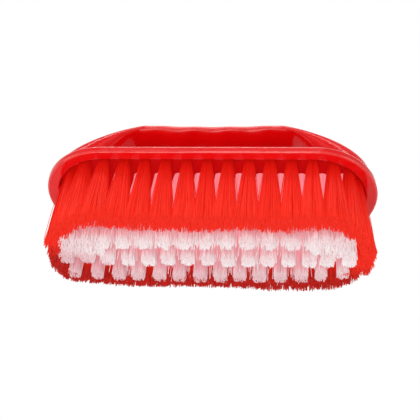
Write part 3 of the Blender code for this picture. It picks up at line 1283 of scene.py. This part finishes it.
@dataclass
class FilamentGroup:
    """All filaments of one run of tufts, as one piece."""

    name: str
    node: str
    colour: TuftColour
    tufts: list[Tuft]
    fan: FanStyle
    seed: int
    sizes: BrushSizes
    press: BackPress = BackPress()
    seat_depth: float = 0.0010
    edge_gap: float = 0.0004

    def fan_out(self, tuft: Tuft, draw: np.random.Generator) -> tuple[np.ndarray, ...]:
        """Draw the filaments of one tuft.

        Args:
            tuft: The tuft.
            draw: Source of the seeded random numbers.

        Returns:
            Roots, tips, bows (all x, y), tip levels, thicknesses, tones and shares of painted
            shade.
        """
        fan = self.fan
        count = fan.filaments
        radius = np.sqrt(draw.random(count))
        turn = 2 * math.pi * draw.random(count)
        out = np.array(tuft.out)
        along = np.array((-out[1], out[0]))
        reach = fan.out_radius + (fan.end_out_radius - fan.out_radius) * out[0] ** 2
        deeper = 1 + fan.end_splay * tuft.fullness
        wider = 1 + fan.end_spread * tuft.fullness
        across, beside = (radius * np.sign(side) * np.abs(side) ** (2 / fan.section_power)
                          for side in (np.cos(turn), np.sin(turn)))
        place = np.array(tuft.place)
        root = place + fan.root_radius * (across[:, None] * out + beside[:, None] * along)
        centre = place + np.array(tuft.lean) + draw.normal(0.0, fan.tuft_scatter, 2)
        split = fan.lobe_split * (1 - tuft.fullness) * np.tanh(beside * fan.lobe_sharpness)
        tip = centre + (across * reach * deeper)[:, None] * out
        tip = tip + (beside * fan.along_radius * wider + split)[:, None] * along
        tip = tip + draw.normal(0.0, fan.wander, (count, 2))
        stray = draw.random(count) < fan.stray_share * (1 - tuft.fullness)
        astray = draw.normal(0.0, 1.0, (int(stray.sum()), 2))
        astray = astray.clip(-fan.stray_limit, fan.stray_limit)
        tip[stray] += fan.stray_reach * astray
        lift = self.press.apply(tip)
        limit_x = self.sizes.half_length - self.edge_gap
        limit_y = self.sizes.half_width - self.edge_gap
        tip = np.clip(tip, (-limit_x, -limit_y), (limit_x, limit_y))
        bow = draw.normal(0.0, fan.bow, (count, 2)) + tuft.fullness * fan.bulge * (tip - root)
        level = lift + np.abs(draw.normal(0.0, fan.end_scatter, count))
        level[stray] *= fan.stray_lift
        swing = fan.thickness_swing
        thickness = fan.thickness * draw.uniform(1 - swing, 1 + swing, count)
        tone = draw.normal(0.5, fan.tone_spread, count) + draw.normal(0.0, fan.tuft_tone_spread)
        # Painted shade: the front side of each tuft's face is deeper, the back side brighter.
        tone = np.clip(tone + fan.face_painted_shade * across, 0.0, 1.0)
        # Painted shade: tips further back, and further at the -X end, are darkened.
        painted_shade_share = self.press.painted_shade(tip) * draw.uniform(fan.least_painted_shade, 1.0, count)
        # Painted shade flecks: a few strands are darkened fully, standing for the shade in gaps
        # between tufts.
        painted_shade_share[draw.random(count) < fan.painted_shade_fleck_share] = 1.0
        return root, tip, bow, level, thickness, tone, painted_shade_share

    def build(self, points: np.ndarray, faces: list[tuple[int, ...]]) -> bpy.types.Object:
        """Copy the filament along every drawn line.

        Args:
            points: Vertices of the one filament.
            faces: Faces of the one filament.

        Returns:
            The finished object.
        """
        draw = np.random.default_rng(self.seed)
        drawn = [self.fan_out(tuft, draw) for tuft in self.tufts]
        root, tip, bow, level, thickness, tone, painted_shade_share = map(np.concatenate, zip(*drawn))
        count = len(root)
        reach = points[:, 2]
        high = self.sizes.root_level + self.seat_depth
        middle = root[:, None] + (tip - root)[:, None] * reach[None, :, None]
        middle = middle + bow[:, None] * (4 * reach * (1 - reach))[None, :, None]
        spin = 2 * math.pi * draw.random(count)
        cos, sin, flat_x, flat_y = np.cos(spin), np.sin(spin), points[:, 0], points[:, 1]
        turned_x = np.outer(cos, flat_x) - np.outer(sin, flat_y)
        turned_y = np.outer(sin, flat_x) + np.outer(cos, flat_y)
        space = np.empty((count, len(points), 3))
        space[..., 0] = middle[..., 0] + turned_x * thickness[:, None]
        space[..., 1] = middle[..., 1] + turned_y * thickness[:, None]
        space[..., 2] = high + (level - high)[:, None] * reach[None, :]
        starts = np.arange(count) * len(points)
        all_faces = [[start + index for index in face] for start in starts for face in faces]
        mesh = bpy.data.meshes.new(self.name)
        mesh.from_pydata(space.reshape(-1, 3), [], all_faces)
        flat = [len(face) == 3 for face in faces]
        mesh.polygons.foreach_set("use_smooth", np.tile(~np.array(flat), count))
        for title, values in (("strand_tone", np.repeat(tone, len(points))),
                              ("strand_painted_shade", np.repeat(painted_shade_share, len(points))),
                              ("strand_reach", np.tile(reach, count))):
            layer = mesh.attributes.new(title, "FLOAT", "POINT")
            layer.data.foreach_set("value", values.astype(np.float32))
        return put_in_scene(self.name, mesh)


@dataclass(frozen=True)
class RowPlan:
    """One straight row of white tufts and the set of its tips.

    Ends holds, for the -X and the +X end, how far the tips splay and how much
    further than push they are set back.
    """

    title: str
    across: float
    half_steps: float
    push: float
    ends: tuple[tuple[float, float], tuple[float, float]]
    fan: FanStyle


@dataclass
class BristleField:
    """Every tuft of the brush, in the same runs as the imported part."""

    sizes: BrushSizes
    layout: TuftLayout
    red_fan: FanStyle
    split_fan: FanStyle
    white_fan: FanStyle
    back_fan: FanStyle
    red_seed: int = 11
    white_seed: int = 31

    def rows(self) -> list[RowPlan]:
        """Plan the white rows.

        Returns:
            The rows, from the front to the back.
        """
        offset = self.sizes.row_offset
        return [
            RowPlan("front", -offset, 6.5, 0.0046, ((0.0, 0.0040), (0.0004, 0.0028)),
                    self.split_fan),
            RowPlan("middle", 0.0, 7.0, 0.0054, ((0.0, -0.0020), (-0.0016, -0.0015)),
                    self.white_fan),
            RowPlan("back", offset, 6.5, 0.0054, ((0.0040, -0.0026), (0.0, -0.0040)),
                    self.back_fan),
        ]

    def groups(self) -> list[FilamentGroup]:
        """Sort the tufts into runs.

        Returns:
            The groups, red ring first.
        """
        ring = self.layout.ring()
        straight = [abs(t.place.x) for t in ring if abs(t.place.x) <= self.sizes.half_straight]
        curved = [abs(t.place.x) for t in ring if abs(t.place.x) > self.sizes.half_straight]
        joint = (max(straight) + min(curved)) / 2
        runs = []
        for title, side in (("front", -1), ("back", 1)):
            members = [t for t in ring if abs(t.place.x) < joint and t.place.y * side > 0]
            runs.append((f"red_filaments_{title}", f"red_tufts_{title}", members))
        for title, end in (("left_end", -1), ("right_end", 1)):
            members = [t for t in ring if t.place.x * end > joint]
            runs.append((f"red_filaments_{title}", f"red_tufts_{title}", members))
        groups = [
            FilamentGroup(name, node, TuftColour.RED, members, self.red_fan, seed, self.sizes)
            for seed, (name, node, members) in enumerate(runs, self.red_seed)
        ]
        for seed, row in enumerate(self.rows(), self.white_seed):
            members = self.layout.row(row.across, row.half_steps, row.push, row.ends)
            groups.append(FilamentGroup(
                f"white_filaments_{row.title}_row", f"white_tufts_{row.title}_row",
                TuftColour.WHITE, members, row.fan, seed, self.sizes))
        return groups


@dataclass(frozen=True)
class Softbox:
    """One soft lamp, placed by direction and distance from the brush."""

    name: str
    direction: tuple[float, float, float]
    distance: float
    width: float
    height: float
    watts: float
    sheen_only: bool = False


@dataclass
class Studio:
    """Pale floor, plain backdrop light, soft lamps and the camera."""

    sizes: BrushSizes
    camera_place: tuple[float, float, float] = (0.03893, -0.36067, -0.22953)
    camera_target: tuple[float, float, float] = (-0.00062, 0.00490, 0.02990)
    camera_roll: float = 4.007
    camera_lens: float = 79.1
    sensor_width: float = 36.0
    clip_start: float = 0.01
    paper_white: Colour = (0.90, 0.90, 0.90)
    floor_reach: float = 4.0
    floor_lift: float = 0.15
    ambient: float = 0.44
    lamps: list[Softbox] = field(default_factory=lambda: [
        Softbox("key_softbox", (-0.10, -0.55, 0.95), 0.80, 0.70, 0.10, 3.0),
        Softbox("camera_softbox", (0.05, -0.82, -0.57), 0.90, 0.30, 0.30, 1.8),
        Softbox("low_softbox", (-0.15, -0.45, -0.90), 0.90, 0.50, 0.50, 2.4),
        Softbox("left_softbox", (-0.90, -0.40, -0.25), 0.90, 0.45, 0.30, 0.9),
        Softbox("right_softbox", (0.90, -0.40, -0.25), 0.90, 0.45, 0.30, 0.9),
        Softbox("back_softbox", (0.40, 0.80, 0.60), 0.95, 0.50, 0.50, 1.0),
        Softbox("sheen_softbox", (0.0, -0.80, 0.60), 1.0, 0.60, 0.25, 0.9, sheen_only=True),
    ])

    @staticmethod
    def aim(holder: bpy.types.Object, place: Vector, way: Vector, roll: float = 0.0) -> None:
        """Put a camera or lamp in its place and turn it.

        Args:
            holder: The object.
            place: Where it stands.
            way: Direction it looks in.
            roll: Turn about that direction in degrees.
        """
        holder.location = place
        holder.rotation_mode = "QUATERNION"
        turn = Quaternion((0, 0, 1), math.radians(roll))
        holder.rotation_quaternion = way.to_track_quat("-Z", "Y") @ turn

    def add_camera(self) -> None:
        """Place the camera at the photograph's angle, below and in front."""
        data = bpy.data.cameras.new("photo_camera")
        data.sensor_width = self.sensor_width
        data.lens = self.camera_lens
        data.clip_start = self.clip_start
        camera = put_in_scene("photo_camera", data)
        place = Vector(self.camera_place)
        self.aim(camera, place, Vector(self.camera_target) - place, self.camera_roll)
        bpy.context.scene.camera = camera

    def add_lamps(self) -> None:
        """Hang the softboxes round the brush, each aimed at its middle."""
        middle = Vector((0.0, 0.0, self.sizes.top / 2))
        for lamp in self.lamps:
            data = bpy.data.lights.new(lamp.name, "AREA")
            data.shape = "RECTANGLE"
            data.size, data.size_y = lamp.width, lamp.height
            data.energy = lamp.watts
            holder = put_in_scene(lamp.name, data)
            way = Vector(lamp.direction).normalized()
            self.aim(holder, middle + way * lamp.distance, -way)
            holder.visible_diffuse = not lamp.sheen_only

    def add_world(self) -> None:
        """White behind the brush and in its gloss, softer on its surfaces."""
        world = bpy.data.worlds.new("studio_world")
        world.use_nodes = True
        bpy.context.scene.world = world
        world.node_tree.nodes.clear()
        bench = NodeBench(world.node_tree)
        white = (1.0, 1.0, 1.0, 1.0)
        lighting = bench.add("ShaderNodeBackground", Strength=self.ambient, Color=white)
        seen = bench.add("ShaderNodeBackground", Strength=1.0, Color=white)
        path = bench.add("ShaderNodeLightPath").outputs
        direct = bench.maths("MAXIMUM", path["Is Camera Ray"], path["Is Glossy Ray"])
        direct = bench.maths("MAXIMUM", direct, path["Is Transmission Ray"])
        mixed = bench.mix_shaders(direct, lighting.outputs[0], seen.outputs[0])
        bench.fill(bench.add("ShaderNodeOutputWorld"), {"Surface": mixed})

    def paper(self, name: str, lift: float) -> bpy.types.Material:
        """Matt white paper that shows from its front side only.

        Args:
            name: Name of the material.
            lift: Light of its own towards the camera, so that it stays white.

        Returns:
            The material.
        """
        made = bpy.data.materials.new(name)
        made.use_nodes = True
        made.node_tree.nodes.clear()
        bench = NodeBench(made.node_tree)
        matt = bench.add("ShaderNodeBsdfDiffuse", Color=(*self.paper_white, 1.0))
        glow = bench.add("ShaderNodeEmission", Strength=lift)
        clear = bench.add("ShaderNodeBsdfTransparent")
        total = bench.add("ShaderNodeAddShader")
        for target, part in zip(total.inputs, (matt, glow)):
            bench.feed(target, part.outputs[0])
        behind = bench.add("ShaderNodeNewGeometry").outputs["Backfacing"]
        mixed = bench.mix_shaders(behind, total.outputs[0], clear.outputs[0])
        bench.fill(bench.add("ShaderNodeOutputMaterial"), {"Surface": mixed})
        return made

    def add_sheet(self, name: str, corners: Sequence[Vector], lift: float) -> None:
        """Lay one sheet of paper that only the camera sees.

        Args:
            name: Name of the sheet.
            corners: Its four corners, anticlockwise from its front side.
            lift: Light of its own towards the camera.
        """
        mesh = bpy.data.meshes.new(name)
        mesh.from_pydata(corners, [], [(0, 1, 2, 3)])
        mesh.materials.append(self.paper(name + "_paper", lift))
        sheet = put_in_scene(name, mesh)
        for ray in ("shadow", "diffuse", "glossy", "transmission"):
            setattr(sheet, f"visible_{ray}", False)

    def build(self) -> None:
        """Set up the whole studio."""
        bpy.context.scene.view_settings.view_transform = "Standard"
        self.add_camera()
        self.add_lamps()
        self.add_world()
        reach = self.floor_reach
        corners = [Vector((side * reach, depth * reach, 0.0))
                   for side, depth in ((-1, -1), (1, -1), (1, 1), (-1, 1))]
        self.add_sheet("studio_floor", corners, self.floor_lift)
        log.info("studio: %d lamps, floor and camera", len(self.lamps))


def shell_finish(name: str, gloss: float, polish: float, haze: float) -> PlasticFinish:
    """Return the finish of one piece of the shell.

    Args:
        name: Name of the piece.
        gloss: Specular level of its faces.
        polish: How much its edges are polished, from 0 to 1.
        haze: Roughness of that polish.

    Returns:
        The finish.
    """
    return PlasticFinish(
        name + "_plastic", deep=(0.77, 0.0015, 0.0030), bright=(0.83, 0.0030, 0.0045),
        # The pale edge colour is partly wear and partly a painted highlight on the rim's and grip's
        # edges.
        worn_and_highlight=(0.95, 0.12, 0.10), roughness=0.10, gloss=gloss, edge_polish=polish,
        coat_roughness=haze, edge_amount=0.30)


def block_finish() -> PlasticFinish:
    """Choose the finish of the block that holds the tufts, its red deepened as painted shade of the
    recess.

    Returns:
        The finish.
    """
    return PlasticFinish(
        # Darker than the shell: painted shade of the recess.
        "block_red_plastic", deep=(0.58, 0.0008, 0.0015), bright=(0.64, 0.0015, 0.0025),
        worn_and_highlight=(0.60, 0.02, 0.02), roughness=0.50, gloss=0.04, edge_polish=0.0)


def filament_finishes() -> dict[TuftColour, FilamentFinish]:
    """Choose the finish of each colour of filament.

    Returns:
        The finishes by colour.
    """
    return {
        TuftColour.RED: FilamentFinish(
            "red_filament", deep=(0.87, 0.032, 0.016), bright=(0.96, 0.056, 0.030),
            scuffed=(0.84, 0.028, 0.014), painted_shade=(0.30, 0.004, 0.005),
            # The deeper red root is painted shade near the block.
            root=(0.78, 0.007, 0.004), glow=0.27, depth_end=1.0,
            painted_shade_start=0.72, painted_shade_length=0.22, scuff_share=0.8, tip_glow=0.75),
        TuftColour.WHITE: FilamentFinish(
            # The pink deep tone also carries the painted shade on the front side of each tuft.
            "white_filament", deep=(0.86, 0.50, 0.53), bright=(1.0, 0.97, 0.97),
            scuffed=(1.0, 0.98, 0.975), painted_shade=(0.80, 0.42, 0.46),
            # The pink root is painted red light bounced off the red tufts.
            root=(1.0, 0.42, 0.48), glow=0.42, depth_end=1.1,
            painted_shade_start=0.45, painted_shade_length=0.50, scuff_share=0.45, tip_glow=0.20),
    }


def main() -> None:
    """Build every piece of the brush and the studio round it."""
    logging.basicConfig(level=logging.INFO, format="%(message)s")
    log.info("frame: %d nodes of the packed part", len(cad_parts))
    sizes = BrushSizes()
    outline = PlateOutline(sizes)
    effects = SurfaceEffects()
    cover = CoverAndRim(sizes, outline)
    handle = ArchedHandle(sizes, cover)
    shell = (
        (cover.build(), shell_finish("cover_and_rim", gloss=0.12, polish=0.9, haze=0.06)),
        (handle.build(), shell_finish("arched_handle", gloss=0.08, polish=1.0, haze=0.34)),
    )
    for piece, finish in shell:
        piece.data.materials.append(finish.material(effects))
        hand_over(piece, ["handle_shell"])
    layout = TuftLayout(sizes, outline)
    red_fan = FanStyle(filaments=340, along_radius=0.0059, out_radius=0.0060,
                       end_out_radius=0.0037, bulge=0.03, tuft_scatter=0.00055)
    white_fan = FanStyle(filaments=420, along_radius=0.0031, out_radius=0.0043,
                         end_out_radius=0.0043, end_splay=0.15, end_spread=0.1,
                         stray_share=0.08, stray_reach=0.0020, face_painted_shade=0.45,
                         painted_shade_fleck_share=0.03)
    split_fan = replace(white_fan, along_radius=0.0017, out_radius=0.0048,
                        end_out_radius=0.0048, lobe_split=0.0035, end_splay=0.85,
                        end_spread=2.2, stray_share=0.06, stray_reach=0.0018)
    back_fan = replace(white_fan, end_splay=0.0, end_spread=-0.15, painted_shade_fleck_share=0.06)
    groups = BristleField(sizes, layout, red_fan, split_fan, white_fan, back_fan).groups()
    tufts = [tuft for group in groups for tuft in group.tufts]
    block = DrilledBlock(sizes, cover, tufts).build()
    block.data.materials.append(block_finish().material(effects))
    hand_over(block, ["tuft_block"])
    finishes = {colour: finish.material(effects) for colour, finish in filament_finishes().items()}
    points, faces = FilamentModel().build()
    for group in groups:
        piece = group.build(points, faces)
        piece.data.materials.append(finishes[group.colour])
        hand_over(piece, [group.node])
    Studio(sizes).build()


if __name__ == "__main__":
    main()
